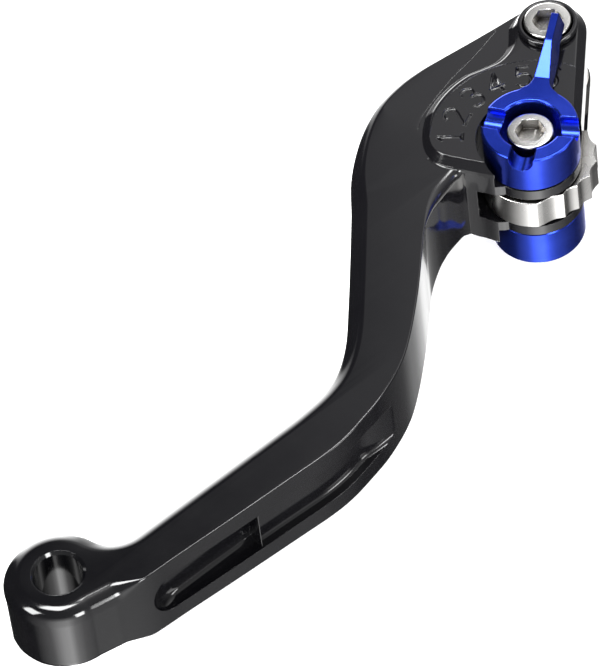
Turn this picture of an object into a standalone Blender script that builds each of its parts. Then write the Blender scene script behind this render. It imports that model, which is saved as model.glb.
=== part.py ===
"""Clutch lever with a six-position reach selector: blade, dial caps, stepped cam, pivot hardware.

Frame: metres, +Z up. The origin is the lever's pivot axis at the middle of the lever's thickness.
The blade's grip runs along -X and +Y is the finger side. Dimensions below are in millimetres.
"""
import math

import bmesh
import bpy
from mathutils import Vector
from mathutils.geometry import tessellate_polygon

MM = 0.001
GAP = 0.3                      # clearance between neighbouring pieces

# Axes
PIVOT = (0.0, 0.0)
DIAL = (-19.7, -17.4)          # selector axis
TIP = (-141.2, -31.4)          # centre of the ball end
DETENT_DEG = 140.0             # direction from the selector axis to the detent

# Lever body
HALF_HEAD = 9.4                # half thickness at the head
TAPER_START_X = -33.0          # the two faces close in from here to the tip
TAPER_END_X = -151.0
TAPER_DROP = 1.6               # per face, over the whole blade
PIVOT_R = 6.95                 # round end around the pivot
DIAL_END_R = 8.65              # round end around the selector axis
TIP_R = 9.8
TIP_HOLE_R = 4.3
NECK_R = 6.0
GRIP_Y = -33.4                 # finger-side edge of the grip
EDGE_R = 0.45                  # small edge rounding
CROTCH_R = 1.8                 # rounding of the hollow between the blade and the dial
FINGER_R = 3.3                 # large rounding along the finger side and the ball
FORK_HALF = 3.5                # half the gap between the fork arms
ARM_FACE = 6.0                 # floor of the cap pockets, outer face of the thin arms
POCKET_R = 9.9
FORK_R = 11.7                  # fork gap around the cam
FORK_PIVOT_R = 9.0             # fork gap around the pivot
FORK_RELIEF = 0.25             # the arms' inner faces are relieved around the pivot and the cam
PIVOT_RELIEF_R = 7.2
CAM_RELIEF_R = 11.0
ISLAND_Z = 10.9                # plateau that carries the dial numbers
ISLAND_R = 18.8
ISLAND_SLOPE = 1.5             # width of the sloped wall around the plateau
SLOT_HALF = 4.6                # side slot in the rider face
SLOT_BACK_Y = -41.2
SLOT_START_X = -125.8
SLOT_END_X = -66.0

# Selector
CAP_R = 8.7
CAP_TOP = 14.35
LOWER_CAP_R = 8.5
LOWER_CAP_BOTTOM = -14.35
CAP_CHAMFER = 0.35
CAP_COUNTERBORE_R = 5.55
CAP_FLOOR = 9.2
CAP_RECESS_R = 6.9
POINTER_DEG = 36.9
GROOVE_STEP_DEG = 86.0
GROOVE_HALF = 2.2
GROOVE_DEPTH = 2.65
HUB_R = 4.9
HUB_END = 6.9
CAM_HALF = 3.2
CAM_RIM_R = 9.2
CAM_TIPS = ((-122.4, 8.9), (-95.0, 9.0), (-75.8, 9.5), (-58.2, 10.6), (-39.8, 11.4), (-21.0, 12.1), (-3.5, 12.4))
CAM_SCALLOP = 0.6
CAM_NOTCH_R = 1.1
CLICK_DEG = 20.4
SCREW_R = 2.5
SCREW_HEAD_R = 4.2
SCREW_HEAD_TOP = 12.7
SOCKET_R = 2.89                # hexagon socket, over the corners
SOCKET_DEPTH = 2.4
PIN_R = 0.6
PIN_CIRCLE_R = 3.85

# Pivot
PIVOT_BORE_R = 5.3
PIVOT_SCREW_R = 2.95
PIVOT_HEAD_R = 4.3
PIVOT_HEAD_TOP = 12.65
PIVOT_HEAD_SEAT = 7.9
CUP_TOP = 12.2
CUP_FLANGE_R = 5.5
SLEEVE_R = 4.4

ROUND = 48


def material(name, color, roughness, metallic):
    mat = bpy.data.materials.new(name)
    mat.use_nodes = True
    shader = mat.node_tree.nodes["Principled BSDF"]
    shader.inputs["Base Color"].default_value = (*color, 1.0)
    shader.inputs["Roughness"].default_value = roughness
    shader.inputs["Metallic"].default_value = metallic
    mat.diffuse_color = (*color, 1.0)
    return mat


def make_materials():
    return {
        "black": material("black_anodised", (0.035, 0.035, 0.04), 0.28, 0.6),
        "blue": material("blue_anodised", (0.03, 0.07, 0.62), 0.25, 0.9),
        "bright": material("bright_steel", (0.78, 0.77, 0.75), 0.22, 1.0),
        "bronze": material("bearing_bronze", (0.55, 0.38, 0.18), 0.4, 1.0),
        "steel": material("plain_steel", (0.45, 0.45, 0.46), 0.35, 1.0),
        "spring": material("spring_steel", (0.5, 0.5, 0.52), 0.3, 1.0),
        "nylon": material("nylon_washer", (0.75, 0.74, 0.7), 0.5, 0.0),
    }


def polar(centre, radius, degrees):
    angle = math.radians(degrees)
    return (centre[0] + radius * math.cos(angle), centre[1] + radius * math.sin(angle))


def arc(centre, radius, start_deg, end_deg, steps):
    return [polar(centre, radius, start_deg + (end_deg - start_deg) * i / steps) for i in range(steps + 1)]


def smooth_path(knots, step):
    """Points about one step apart on a Catmull-Rom curve through the knots, without the last knot."""
    points = []
    for i in range(len(knots) - 1):
        before = Vector(knots[max(i - 1, 0)])
        start = Vector(knots[i])
        end = Vector(knots[i + 1])
        after = Vector(knots[min(i + 2, len(knots) - 1)])
        count = max(1, round((end - start).length / step))
        for k in range(count):
            t = k / count
            point = 0.5 * (2 * start + (end - before) * t
                           + (2 * before - 5 * start + 4 * end - after) * t ** 2
                           + (3 * start - before - 3 * end + after) * t ** 3)
            points.append(tuple(point))
    return points


def inset(points, distances):
    """Move each point of a counter-clockwise outline inwards by its own distance."""
    moved = []
    count = len(points)
    for i, (x, y) in enumerate(points):
        before = points[i - 1]
        after = points[(i + 1) % count]
        along = Vector((after[0] - before[0], after[1] - before[1])).normalized()
        moved.append((x - along.y * distances[i], y + along.x * distances[i]))
    return moved


def finish_object(bm, name, mat, sharp_deg=35.0):
    bmesh.ops.recalc_face_normals(bm, faces=bm.faces)
    bmesh.ops.scale(bm, vec=(MM, MM, MM), verts=bm.verts)
    mesh = bpy.data.meshes.new(name)
    bm.to_mesh(mesh)
    bm.free()
    mesh.shade_smooth()
    mesh.set_sharp_from_angle(angle=math.radians(sharp_deg))
    if mat:
        mesh.materials.append(mat)
    obj = bpy.data.objects.new(name, mesh)
    bpy.context.scene.collection.objects.link(obj)
    return obj


def stacked(rings):
    """A closed solid from rings of (x, y, z) points with equal counts, capped at both ends."""
    bm = bmesh.new()
    loops = [[bm.verts.new(point) for point in ring] for ring in rings]
    count = len(loops[0])
    for lower, upper in zip(loops, loops[1:]):
        for i in range(count):
            j = (i + 1) % count
            bm.faces.new((lower[i], lower[j], upper[j], upper[i]))
    for loop in (loops[0], loops[-1]):
        flat = [Vector((vert.co.x, vert.co.y, 0.0)) for vert in loop]
        for triangle in tessellate_polygon([flat]):
            bm.faces.new([loop[i] for i in triangle])
    return bm


def prism(outline, low, high):
    return stacked([[(x, y, low) for x, y in outline], [(x, y, high) for x, y in outline]])


def turned(profile, centre, segments=ROUND):
    """Turn a profile of (radius, z) points about a vertical axis.

    A profile that starts and ends at radius 0 makes a solid; any other is closed into a ring.
    """
    bm = bmesh.new()
    solid = profile[0][0] == 0
    loops = []
    for radius, z in profile:
        if radius == 0:
            loops.append([bm.verts.new((centre[0], centre[1], z))] * segments)
            continue
        step = 360.0 / segments
        loops.append([bm.verts.new((*polar(centre, radius, i * step), z)) for i in range(segments)])
    pairs = list(zip(loops, loops[1:]))
    if not solid:
        pairs.append((loops[-1], loops[0]))
    for lower, upper in pairs:
        for i in range(segments):
            j = (i + 1) % segments
            corners = []
            for vert in (lower[i], lower[j], upper[j], upper[i]):
                if vert not in corners:
                    corners.append(vert)
            bm.faces.new(corners)
    return bm


def rod(start, end, radius, segments=24):
    """A straight round bar between two points."""
    axis = Vector(end) - Vector(start)
    bm = bmesh.new()
    bmesh.ops.create_cone(bm, cap_ends=True, segments=segments, radius1=radius, radius2=radius, depth=axis.length)
    turn = axis.to_track_quat("Z", "Y").to_matrix().to_4x4()
    bmesh.ops.transform(bm, matrix=turn, verts=bm.verts)
    bmesh.ops.translate(bm, vec=(Vector(start) + Vector(end)) / 2, verts=bm.verts)
    return bm


def combine(target, bm, operation, name):
    """Cut a shape from the target, or join it on, with a hidden tool object."""
    tool = finish_object(bm, name, None)
    tool.hide_render = True
    tool.display_type = "WIRE"
    modifier = target.modifiers.new(name, "BOOLEAN")
    modifier.operation = operation
    modifier.solver = "EXACT"
    modifier.object = tool


def cut(target, bm, name):
    combine(target, bm, "DIFFERENCE", name)


def join(target, bm, name):
    combine(target, bm, "UNION", name)


def hexagon(centre, corner_radius, low, high, turn_deg=0.0):
    return prism([polar(centre, corner_radius, turn_deg + 60 * i) for i in range(6)], low, high)


# ---------------------------------------------------------------- lever body

def finger_edge():
    """Finger side of the lever, from the pivot end to the neck."""
    knots = [(-0.5, 7.1), (-8.0, 7.8), (-16.5, 8.8), (-22.0, 9.7), (-27.5, 10.0), (-33.5, 9.1), (-40.0, 6.1),
             (-46.8, 0.9), (-52.9, -6.0), (-59.5, -13.3), (-66.4, -20.8), (-72.3, -26.9), (-77.6, -30.8),
             (-82.5, -32.6), (-89.0, -33.3), (-96.0, GRIP_Y), (-112.0, GRIP_Y)]
    return smooth_path(knots, 3.0)


def rider_edge():
    """Rider side of the lever, from the ball to the round end at the selector."""
    knots = [(-137.5, -42.0), (-131.0, -42.9), (-124.0, -43.2), (-112.0, -43.8), (-100.0, -44.3), (-92.0, -44.6),
             (-87.0, -44.3), (-82.0, -43.3), (-76.0, -41.7), (-69.2, -38.7), (-63.6, -34.8), (-56.2, -28.4),
             (-49.5, -21.9), (-46.0, -18.6), (-42.0, -16.1), (-39.6, -15.1), (-37.6, -14.4), (-35.2, -13.8),
             (-33.6, -13.5)]
    wall = [(-32.2, -13.5), (-31.0, -15.4), (-29.6, -18.3), polar(DIAL, DIAL_END_R, 194.0)]
    return smooth_path(knots + wall[:1], 2.6) + smooth_path(wall, 2.6)


def lever_outline():
    """Counter-clockwise outline, with the edge rounding of each point."""
    side_deg = -44.8           # direction that both round ends' common tangent faces
    neck = (TIP[0] + math.sqrt((TIP_R + NECK_R) ** 2 - (GRIP_Y + NECK_R - TIP[1]) ** 2), GRIP_Y + NECK_R)
    neck_deg = math.degrees(math.atan2(TIP[1] - neck[1], TIP[0] - neck[0])) % 360
    small = arc(PIVOT, PIVOT_R, side_deg, 86.0, 16)
    finger = finger_edge()
    ball = arc(neck, NECK_R, 270.0, neck_deg, 6)[:-1] + arc(TIP, TIP_R, neck_deg - 180, 268.0, 36)
    rider = rider_edge()
    end = arc(DIAL, DIAL_END_R, 194.0, 360 + side_deg, 14)
    radii = [EDGE_R] * len(small)
    radii += [blend(-x, 17.0, 52.0, EDGE_R, FINGER_R) for x, _ in finger]
    radii += [FINGER_R] * len(ball)
    radii += [rider_radius(x) for x, _ in rider]
    radii += [EDGE_R] * len(end)
    return small + finger + ball + rider + end, radii


def rider_radius(x):
    if x < -90.0:
        return blend(x, -142.0, -130.5, FINGER_R, EDGE_R)
    if x < -36.0:
        return blend(x, -46.0, -39.0, EDGE_R, CROTCH_R)
    return blend(x, -33.6, -31.5, CROTCH_R, EDGE_R)


def blend(value, start, end, first, last):
    t = min(1.0, max(0.0, (value - start) / (end - start)))
    return first + (last - first) * t


def half_thickness(x):
    return HALF_HEAD - TAPER_DROP * blend(x, TAPER_START_X, TAPER_END_X, 0.0, 1.0)


def lever_rings(steps=3):
    outline, radii = lever_outline()
    rings = []
    for side in (-1, 1):
        order = range(steps + 1) if side > 0 else range(steps, -1, -1)
        for k in order:
            angle = math.radians(90.0 * k / steps)
            shifts = [radius * (1 - math.cos(angle)) for radius in radii]
            moved = inset(outline, shifts)
            ring = []
            for (x, y), radius, (wall_x, _) in zip(moved, radii, outline):
                height = half_thickness(wall_x) - radius * (1 - math.sin(angle))
                ring.append((x, y, side * height))
            rings.append(ring)
    return rings


def island_outline():
    """Top edge of the raised plateau around the dial and the pivot."""
    rim = PIVOT_R - ISLAND_SLOPE
    points = arc(PIVOT, rim, -44.8, 112.0, 12)
    points += smooth_path([(-3.9, 4.3), (-6.2, 1.8), (-7.8, 0.7), (-9.8, 0.0), (-12.1, -0.2), (-15.0, 0.5),
                           polar(DIAL, ISLAND_R, 84)], 1.5)
    points += arc(DIAL, ISLAND_R, 84.0, 118.0, 8)
    points += smooth_path([(-30.6, -2.5), (-32.6, -4.8), (-33.6, -7.2), (-33.2, -9.5), (-31.7, -12.2)], 1.5)
    points += [(-31.7, -12.2), (-29.25, -16.2), (-28.3, -17.8), (-26.0, -20.0)]
    points += [polar(DIAL, DIAL_END_R - ISLAND_SLOPE, -44.8)]
    return points


def island():
    top = island_outline()
    foot = inset(top, [-ISLAND_SLOPE] * len(top))
    rings = [[(x, y, HALF_HEAD - 1.0) for x, y in foot],
             [(x, y, HALF_HEAD - 0.12) for x, y in foot],
             [(x, y, ISLAND_Z) for x, y in top]]
    return stacked(rings)


def fork_gap():
    """Gap between the arms, as wide as the fork's faces are apart."""
    reach = math.hypot(*DIAL)
    along_deg = math.degrees(math.atan2(DIAL[1], DIAL[0])) % 360
    meet_deg = along_deg - math.degrees(math.acos((FORK_PIVOT_R - FORK_R) / reach))
    outline = [(-31.2, -60.0), (40.0, -60.0), (40.0, 30.0), (0.0, 30.0)]
    outline += arc(PIVOT, FORK_PIVOT_R, 112.0, meet_deg, 2)
    outline += arc(DIAL, FORK_R, meet_deg, 190.0, 16)
    return prism(outline, -FORK_HALF, FORK_HALF)


def fork_relief(centre, radius):
    """Slightly wider round clearance between the arms."""
    half = FORK_HALF + FORK_RELIEF
    return turned([(0, -half), (radius, -half), (radius, half), (0, half)], centre)


def side_slot():
    """Long round-ended slot cutter, seen from the rider side, pushed in along +Y."""
    points = []
    for x, z in arc((SLOT_START_X, 0.0), SLOT_HALF, 90.0, 270.0, 12):
        points.append((x, z))
    for x, z in ((SLOT_END_X, -SLOT_HALF), (SLOT_END_X, SLOT_HALF)):
        points.append((x, z))
    bm = bmesh.new()
    front = [bm.verts.new((x, -60.0, z)) for x, z in points]
    back = [bm.verts.new((x, SLOT_BACK_Y, z)) for x, z in points]
    bm.faces.new(front)
    bm.faces.new(back)
    for i in range(len(points)):
        j = (i + 1) % len(points)
        bm.faces.new((front[i], front[j], back[j], back[i]))
    return bm


def lever_body(mats):
    body = finish_object(stacked(lever_rings()), "lever_body", mats["black"])
    join(body, island(), "tool_island")
    cut(body, fork_gap(), "tool_fork_gap")
    cut(body, fork_relief(PIVOT, PIVOT_RELIEF_R), "tool_pivot_relief")
    cut(body, fork_relief(DIAL, CAM_RELIEF_R), "tool_cam_relief")
    high = HALF_HEAD + 8.0
    cut(body, turned([(0, ARM_FACE), (POCKET_R, ARM_FACE), (POCKET_R, high), (0, high)], DIAL), "tool_upper_pocket")
    cut(body, turned([(0, -high), (POCKET_R, -high), (POCKET_R, -ARM_FACE), (0, -ARM_FACE)], DIAL),
        "tool_lower_pocket")
    cut(body, turned([(0, -high), (HUB_R + 1.6, -high), (HUB_R + 1.6, high), (0, high)], DIAL), "tool_dial_bore")
    cut(body, turned([(0, -high), (PIVOT_BORE_R, -high), (PIVOT_BORE_R, high), (0, high)], PIVOT), "tool_pivot_bore")
    face = half_thickness(TIP[0])
    wide = TIP_HOLE_R + 1.5
    cut(body, turned([(0, -face - 1), (wide, -face - 1), (TIP_HOLE_R, -face + 0.5), (TIP_HOLE_R, face - 0.5),
                      (wide, face + 1), (0, face + 1)], TIP), "tool_tip_hole")
    cut(body, side_slot(), "tool_side_slot")
    inner = (*polar(DIAL, FORK_R - 2.0, DETENT_DEG), 0.0)
    outer = (*polar(DIAL, 40.0, DETENT_DEG), 0.0)
    cut(body, rod(inner, outer, 1.9, 20), "tool_detent_hole")
    return body


# ---------------------------------------------------------------- selector

def groove(angle_deg):
    """U-shaped groove cutter from the counterbore out through the cap's rim."""
    centre_z = CAP_TOP - GROOVE_DEPTH + GROOVE_HALF
    section = [(GROOVE_HALF, CAP_TOP + 1.0)]
    section += [(y, z) for y, z in arc((0.0, centre_z), GROOVE_HALF, 0.0, -180.0, 10)]
    section += [(-GROOVE_HALF, CAP_TOP + 1.0)]
    bm = bmesh.new()
    ends = []
    for radius in (4.0, CAP_R + 2.0):
        verts = []
        for y, z in section:
            x_axis = polar((0, 0), 1.0, angle_deg)
            verts.append(bm.verts.new((DIAL[0] + radius * x_axis[0] - y * x_axis[1],
                                       DIAL[1] + radius * x_axis[1] + y * x_axis[0], z)))
        ends.append(verts)
        bm.faces.new(verts)
    for i in range(len(section)):
        j = (i + 1) % len(section)
        bm.faces.new((ends[0][i], ends[0][j], ends[1][j], ends[1][i]))
    return bm


def pointer():
    """Neck and fin, lofted outwards: (radius, half width at top, half width below, top z, bottom z)."""
    sections = [
        (6.9, 4.3, 4.3, CAP_TOP, 11.6),
        (8.0, 3.4, 3.5, CAP_TOP, 11.6),
        (8.8, 2.45, 2.6, CAP_TOP, 11.6),
        (9.7, 1.8, 2.0, CAP_TOP, 11.6),
        (11.2, 1.45, 1.8, CAP_TOP, 11.6),
        (17.6, 0.75, 1.6, 16.75, 11.6),
        (18.3, 0.72, 1.6, 17.0, 12.1),
        (20.0, 0.72, 1.5, 17.0, 13.4),
        (24.4, 0.72, 1.45, 17.0, 13.4),
    ]
    out_x, out_y = polar((0, 0), 1.0, POINTER_DEG)
    bm = bmesh.new()
    loops = []
    for radius, top_half, low_half, top, low in sections:
        loop = []
        for side, z in ((-top_half, top), (top_half, top), (low_half, low), (-low_half, low)):
            reach = radius + (0.6 if radius > 24 and z == low else 0.0)
            loop.append(bm.verts.new((DIAL[0] + reach * out_x - side * out_y,
                                      DIAL[1] + reach * out_y + side * out_x, z)))
        loops.append(loop)
    bm.faces.new(loops[0])
    bm.faces.new(loops[-1])
    for first, second in zip(loops, loops[1:]):
        for i in range(4):
            j = (i + 1) % 4
            bm.faces.new((first[i], first[j], second[j], second[i]))
    return bm


def pin_hole_cuts(target, low, high, label):
    for side in (0, 180):
        x, y = polar(DIAL, PIN_CIRCLE_R, POINTER_DEG + side)
        cut(target, rod((x, y, low), (x, y, high), PIN_R + 0.3, 12), f"tool_{label}_pin_hole_{side}")


def upper_dial_cap(mats):
    low = ARM_FACE + GAP
    recess = HUB_END + GAP
    c = CAP_CHAMFER
    profile = [(CAP_RECESS_R, low), (CAP_R - 0.2, low), (CAP_R, low + 0.2), (CAP_R, CAP_TOP - c), (CAP_R - c, CAP_TOP),
               (CAP_COUNTERBORE_R + 0.5, CAP_TOP), (CAP_COUNTERBORE_R, CAP_TOP - 0.5), (CAP_COUNTERBORE_R, CAP_FLOOR),
               (SCREW_R + GAP, CAP_FLOOR), (SCREW_R + GAP, recess), (CAP_RECESS_R, recess)]
    cap = finish_object(turned(profile, DIAL, 64), "upper_dial_cap", mats["blue"])
    join(cap, pointer(), "tool_pointer")
    cut(cap, turned([(0, CAP_FLOOR), (CAP_COUNTERBORE_R, CAP_FLOOR), (CAP_COUNTERBORE_R, CAP_TOP + 4),
                     (0, CAP_TOP + 4)], DIAL, 64), "tool_counterbore")
    for k in (1, -1):
        cut(cap, groove(POINTER_DEG + k * GROOVE_STEP_DEG), f"tool_groove_{k + 1}")
    cut(cap, groove(POINTER_DEG + 180.0), "tool_groove_3")
    pin_hole_cuts(cap, HUB_END, 8.9, "upper_cap")
    return cap


def lower_dial_cap(mats):
    high = -(ARM_FACE + GAP)
    recess = -(HUB_END + GAP)
    nut_floor = -9.3
    low = LOWER_CAP_BOTTOM
    profile = [(CAP_RECESS_R, high), (CAP_RECESS_R, recess), (SCREW_R + GAP, recess), (SCREW_R + GAP, nut_floor),
               (5.2, nut_floor), (5.2, low + 0.4), (5.6, low), (LOWER_CAP_R - 0.5, low), (LOWER_CAP_R, low + 0.5),
               (LOWER_CAP_R, high - 0.3), (LOWER_CAP_R - 0.3, high)]
    cap = finish_object(turned(profile, DIAL, 64), "lower_dial_cap", mats["blue"])
    pin_hole_cuts(cap, -8.9, -HUB_END, "lower_cap")
    return cap


def cam_outline():
    """Spiral of scallops on the pulling side, a plain rim elsewhere."""
    points = []
    for (start, start_r), (end, end_r) in zip(CAM_TIPS, CAM_TIPS[1:]):
        for k in range(8):
            t = k / 8
            radius = start_r + (end_r - start_r) * t - CAM_SCALLOP * math.sin(math.pi * t)
            points.append(polar(DIAL, radius, start + (end - start) * t))
    last_deg, last_r = CAM_TIPS[-1]
    points.append(polar(DIAL, last_r, last_deg))
    points += [polar(DIAL, blend(k, 0, 4, last_r, CAM_RIM_R), last_deg + 4.0 * k) for k in range(1, 5)]
    points += arc(DIAL, CAM_RIM_R, last_deg + 22.0, CAM_TIPS[0][0] + 360.0 - 5.0, 36)
    return points


def selector_cam(mats):
    cam = finish_object(prism(cam_outline(), -CAM_HALF, CAM_HALF), "selector_cam", mats["bright"])
    join(cam, turned([(0, -HUB_END), (HUB_R, -HUB_END), (HUB_R, HUB_END), (0, HUB_END)], DIAL, 40), "tool_cam_hub")
    reach = HUB_END + 1.0
    bore = SCREW_R + GAP
    cut(cam, turned([(0, -reach), (bore, -reach), (bore, reach), (0, reach)], DIAL, 32), "tool_cam_bore")
    for k in range(6):
        x, y = polar(DIAL, CAM_RIM_R + 0.7, DETENT_DEG - k * CLICK_DEG)
        cut(cam, rod((x, y, -CAM_HALF - 1), (x, y, CAM_HALF + 1), CAM_NOTCH_R, 12), f"tool_cam_notch_{k}")
    pin_hole_cuts(cam, 4.5, HUB_END + 1, "cam_upper")
    pin_hole_cuts(cam, -HUB_END - 1, -4.5, "cam_lower")
    return cam


def socket_screw(name, centre, head_r, head_low, head_top, shank_r, end_z, hex_deg, mats):
    profile = [(0, end_z), (shank_r - 0.4, end_z), (shank_r, end_z + 0.4), (shank_r, head_low), (head_r, head_low),
               (head_r, head_top - 0.3), (head_r - 0.3, head_top), (0, head_top)]
    screw = finish_object(turned(profile, centre, 40), name, mats["bright"])
    cut(screw, hexagon(centre, SOCKET_R, head_top - SOCKET_DEPTH, head_top + 1, hex_deg), f"tool_{name}_socket")
    return screw


def ring(name, centre, inner_r, outer_r, low, high, mat, segments=ROUND):
    profile = [(inner_r, low), (outer_r, low), (outer_r, high), (inner_r, high)]
    return finish_object(turned(profile, centre, segments), name, mat)


def lock_nut(name, centre, corner_r, bore_r, low, high, mat):
    nut = finish_object(hexagon(centre, corner_r, low, high), name, mat)
    cut(nut, turned([(0, low - 1), (bore_r, low - 1), (bore_r, high + 1), (0, high + 1)], centre, 24), f"tool_{name}_bore")
    return nut


def drive_pins(label, low, high, mats):
    """Two dowels that key a cap to the cam's hub."""
    for number, side in ((1, 0), (2, 180)):
        x, y = polar(DIAL, PIN_CIRCLE_R, POINTER_DEG + side)
        pin = rod((x, y, low), (x, y, high), PIN_R, 12)
        finish_object(pin, f"{label}_drive_pin_{number}", mats["steel"])


def selector_parts(mats):
    upper_dial_cap(mats)
    lower_dial_cap(mats)
    selector_cam(mats)
    socket_screw("selector_screw", DIAL, SCREW_HEAD_R, CAP_FLOOR + GAP, SCREW_HEAD_TOP, SCREW_R, -13.4, 17.7, mats)
    lock_nut("selector_nut", DIAL, 4.7, SCREW_R + GAP, -13.2, -9.6, mats["steel"])
    for name, low, high in (("upper_selector_bush", 3.7, 5.9), ("lower_selector_bush", -5.9, -3.7)):
        ring(name, DIAL, HUB_R + GAP, HUB_R + 1.3, low, high, mats["bronze"])
    for name, low, high in (("upper_thrust_washer", 6.3, 6.9), ("lower_thrust_washer", -6.9, -6.3)):
        ring(name, DIAL, HUB_R + GAP, CAP_RECESS_R - GAP, low, high, mats["nylon"])
    drive_pins("upper", 4.8, 8.6, mats)
    drive_pins("lower", -8.6, -4.8, mats)


# ---------------------------------------------------------------- detent

def detent_parts(mats):
    """Ball, spring and set screw in a hole drilled from the finger side towards the cam."""
    ball_r = 1.5
    ball_at = CAM_RIM_R + GAP + ball_r
    ball = bmesh.new()
    bmesh.ops.create_icosphere(ball, subdivisions=3, radius=ball_r)
    bmesh.ops.translate(ball, vec=(*polar(DIAL, ball_at, DETENT_DEG), 0.0), verts=ball.verts)
    finish_object(ball, "detent_ball", mats["bright"])
    spring_start = ball_at + ball_r + 0.8
    plug_start = 23.0
    plug = rod((*polar(DIAL, plug_start, DETENT_DEG), 0.0), (*polar(DIAL, plug_start + 4.5, DETENT_DEG), 0.0), 1.6, 20)
    finish_object(plug, "detent_plug", mats["steel"])
    detent_spring(spring_start + 0.3, plug_start - 0.5, mats)


def detent_spring(start, end, mats):
    turns = 7
    per_turn = 12
    wire_r = 0.2
    coil_r = 1.25
    out = Vector((*polar((0, 0), 1.0, DETENT_DEG), 0.0))
    side = Vector((-out.y, out.x, 0.0))
    up = Vector((0.0, 0.0, 1.0))
    bm = bmesh.new()
    rings = []
    total = turns * per_turn
    for i in range(total + 1):
        angle = 2 * math.pi * i / per_turn
        radial = side * math.cos(angle) + up * math.sin(angle)
        reach = start + wire_r + (end - start - 2 * wire_r) * i / total
        centre = Vector((*DIAL, 0.0)) + out * reach + radial * coil_r
        corners = []
        for k in range(6):
            turn = math.radians(60 * k)
            corners.append(bm.verts.new(centre + (radial * math.cos(turn) + out * math.sin(turn)) * wire_r))
        rings.append(corners)
    for first, second in zip(rings, rings[1:]):
        for i in range(6):
            j = (i + 1) % 6
            bm.faces.new((first[i], first[j], second[j], second[i]))
    bm.faces.new(rings[0])
    bm.faces.new(rings[-1])
    return finish_object(bm, "detent_spring", mats["spring"], 70.0)


# ---------------------------------------------------------------- pivot

def pivot_parts(mats):
    screw_bore = PIVOT_SCREW_R + GAP
    bush_r = PIVOT_BORE_R - GAP
    socket_screw("pivot_screw", PIVOT, PIVOT_HEAD_R, PIVOT_HEAD_SEAT, PIVOT_HEAD_TOP, PIVOT_SCREW_R, -16.6, 21.0, mats)
    head_bore = PIVOT_HEAD_R + GAP
    cup = [(screw_bore, FORK_HALF + GAP), (bush_r, FORK_HALF + GAP), (bush_r, ISLAND_Z + GAP),
           (CUP_FLANGE_R, ISLAND_Z + GAP), (CUP_FLANGE_R, CUP_TOP - 0.45), (CUP_FLANGE_R - 0.35, CUP_TOP),
           (head_bore + 0.25, CUP_TOP), (head_bore, CUP_TOP - 0.35), (head_bore, PIVOT_HEAD_SEAT - GAP),
           (screw_bore, PIVOT_HEAD_SEAT - GAP)]
    finish_object(turned(cup, PIVOT), "pivot_cup", mats["black"])
    ring("lower_pivot_bush", PIVOT, screw_bore, bush_r, -HALF_HEAD + GAP, -FORK_HALF - GAP, mats["bronze"])
    ring("pivot_sleeve", PIVOT, screw_bore, SLEEVE_R, -FORK_HALF, FORK_HALF, mats["steel"])
    for name, low, high in (("upper_pivot_shim", 2.6, 3.2), ("lower_pivot_shim", -3.2, -2.6)):
        ring(name, PIVOT, SLEEVE_R + GAP, 6.6, low, high, mats["nylon"])
    washer_top = -HALF_HEAD - GAP
    ring("pivot_washer", PIVOT, screw_bore, 6.2, washer_top - 1.0, washer_top, mats["bright"])
    lock_nut("pivot_lock_nut", PIVOT, 5.7, screw_bore, washer_top - 5.8, washer_top - 1.0 - GAP, mats["bright"])


def main():
    for obj in list(bpy.data.objects):
        bpy.data.objects.remove(obj)
    mats = make_materials()
    lever_body(mats)
    selector_parts(mats)
    detent_parts(mats)
    pivot_parts(mats)


main()
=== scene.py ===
import math

import bmesh
import bpy
from mathutils import Matrix, Vector
from mathutils.geometry import tessellate_polygon


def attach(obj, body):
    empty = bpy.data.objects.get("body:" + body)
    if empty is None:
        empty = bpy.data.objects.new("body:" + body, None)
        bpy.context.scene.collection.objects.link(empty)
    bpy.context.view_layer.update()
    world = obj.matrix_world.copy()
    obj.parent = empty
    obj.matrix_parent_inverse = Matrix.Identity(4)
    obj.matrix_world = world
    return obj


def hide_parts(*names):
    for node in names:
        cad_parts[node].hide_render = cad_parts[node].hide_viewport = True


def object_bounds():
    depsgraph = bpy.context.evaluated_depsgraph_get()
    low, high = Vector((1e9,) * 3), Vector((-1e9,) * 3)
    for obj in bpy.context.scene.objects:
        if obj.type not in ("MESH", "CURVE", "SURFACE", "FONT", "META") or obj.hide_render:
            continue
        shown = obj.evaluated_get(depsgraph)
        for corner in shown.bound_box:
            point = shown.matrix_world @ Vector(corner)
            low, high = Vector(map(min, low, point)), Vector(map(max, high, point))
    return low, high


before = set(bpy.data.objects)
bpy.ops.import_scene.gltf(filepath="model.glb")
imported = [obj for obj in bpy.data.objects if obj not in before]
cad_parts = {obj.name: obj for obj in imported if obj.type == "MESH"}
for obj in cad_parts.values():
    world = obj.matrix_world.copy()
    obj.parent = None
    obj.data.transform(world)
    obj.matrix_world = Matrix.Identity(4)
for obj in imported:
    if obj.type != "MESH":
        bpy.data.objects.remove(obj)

MM = 0.001                     # sizes below are in millimetres
CAD_BOX = [list(corner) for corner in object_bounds()]
GAP = 0.3

# Axes
PIVOT = (0.0, 0.0)
DIAL = (-19.7, -17.4)
TIP = (-141.2, -31.4)
DETENT_DEG = 140.0

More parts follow.
